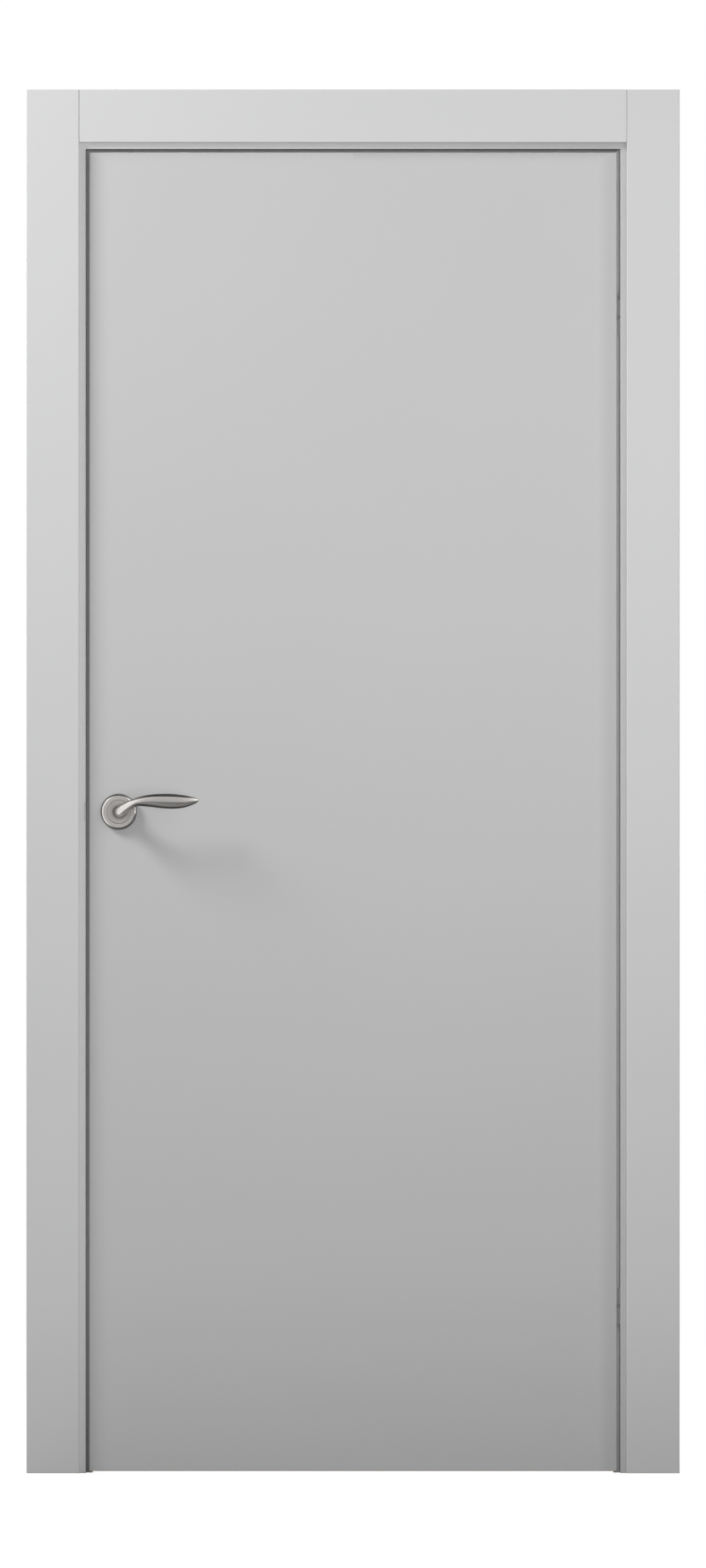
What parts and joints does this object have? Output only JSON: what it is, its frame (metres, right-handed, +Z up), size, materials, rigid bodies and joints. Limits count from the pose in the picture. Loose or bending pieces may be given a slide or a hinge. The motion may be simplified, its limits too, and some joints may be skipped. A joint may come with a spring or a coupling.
{
  "type": "flush hollow core door",
  "caption": "Flush hollow core door leaf in a rebated frame with flat casings, concealed hinges, a tubular latch and round-rose lever handles.",
  "frame": {"origin": "floor level on the wall face of the hinge-side jamb, in the middle of the wall's thickness", "axes": "+X out of the hinge jamb into the wall, so the leaf lies towards -X; +Y through the wall, away from the side the door opens to; +Z up"},
  "size_m": [0.99, 0.1662, 2.098],
  "materials": {
    "frame_lacquer": "satin white lacquer on board",
    "leaf_lacquer": "satin white lacquer on board, a shade darker than the frame",
    "softwood": "planed softwood, bare",
    "seal_rubber": "matt grey",
    "hinge_case_metal": "satin die-cast",
    "hinge_arm_steel": "satin",
    "latch_steel": "satin",
    "satin_nickel": "satin nickel with polished edges",
    "core_paper": "brown honeycomb paper"
  },
  "bodies": {
    "frame": {"casing_back_head": "frame_lacquer", "casing_back_hinge_side": "frame_lacquer", "casing_back_latch_side": "frame_lacquer", "casing_front_head": "frame_lacquer", "casing_front_hinge_side": "frame_lacquer", "casing_front_latch_side": "frame_lacquer", "hinge_case_frame_lower": "hinge_case_metal", "hinge_case_frame_upper": "hinge_case_metal", "jamb_head": "frame_lacquer", "jamb_hinge_side": "frame_lacquer", "jamb_latch_side": "frame_lacquer", "seal_head": "seal_rubber", "seal_hinge_side": "seal_rubber", "seal_latch_side": "seal_rubber", "strike_box": "latch_steel", "strike_plate": "latch_steel"},
    "hinge_arms": {"hinge_arms_lower": "hinge_arm_steel", "hinge_arms_upper": "hinge_arm_steel"},
    "leaf": {"hinge_case_leaf_lower": "hinge_case_metal", "hinge_case_leaf_upper": "hinge_case_metal", "latch_barrel": "latch_steel", "latch_bolt": "latch_steel", "latch_face_plate": "latch_steel", "leaf_core": "core_paper", "leaf_edge_band_hinge_side": "leaf_lacquer", "leaf_edge_band_latch_side": "leaf_lacquer", "leaf_edge_band_top": "leaf_lacquer", "leaf_lock_block": "softwood", "leaf_rail_bottom": "softwood", "leaf_rail_top": "softwood", "leaf_skin_back": "leaf_lacquer", "leaf_skin_front": "leaf_lacquer", "leaf_stile_hinge_side": "softwood", "leaf_stile_latch_side": "softwood", "rose_back": "satin_nickel", "rose_base_back": "latch_steel", "rose_base_front": "latch_steel", "rose_front": "satin_nickel"},
    "handle": {"lever_back": "satin_nickel", "lever_front": "satin_nickel", "spindle": "latch_steel"}
  },
  "joints": [
    {"name": "leaf_swing", "type": "hinge", "parent": "frame", "child": "leaf", "pos_m": [-0.0325, -0.05, 1.003], "axis": [0, 0, 1], "range_deg": [0, 105]},
    {"name": "hinge_arm_turn", "type": "hinge", "parent": "frame", "child": "hinge_arms", "pos_m": [-0.0325, -0.05, 1.003], "axis": [0, 0, 1], "range_deg": [0, 52.5]},
    {"name": "lever_turn", "type": "hinge", "parent": "leaf", "child": "handle", "pos_m": [-0.79, -0.028, 1.003], "axis": [0, 1, 0], "range_deg": [0, 40], "stiffness_Nm_per_rad": 1.2, "springref_deg": -28.65}
  ],
  "couplings": [
    {"joint": "hinge_arm_turn", "follows": "leaf_swing", "ratio": 0.5}
  ]
}
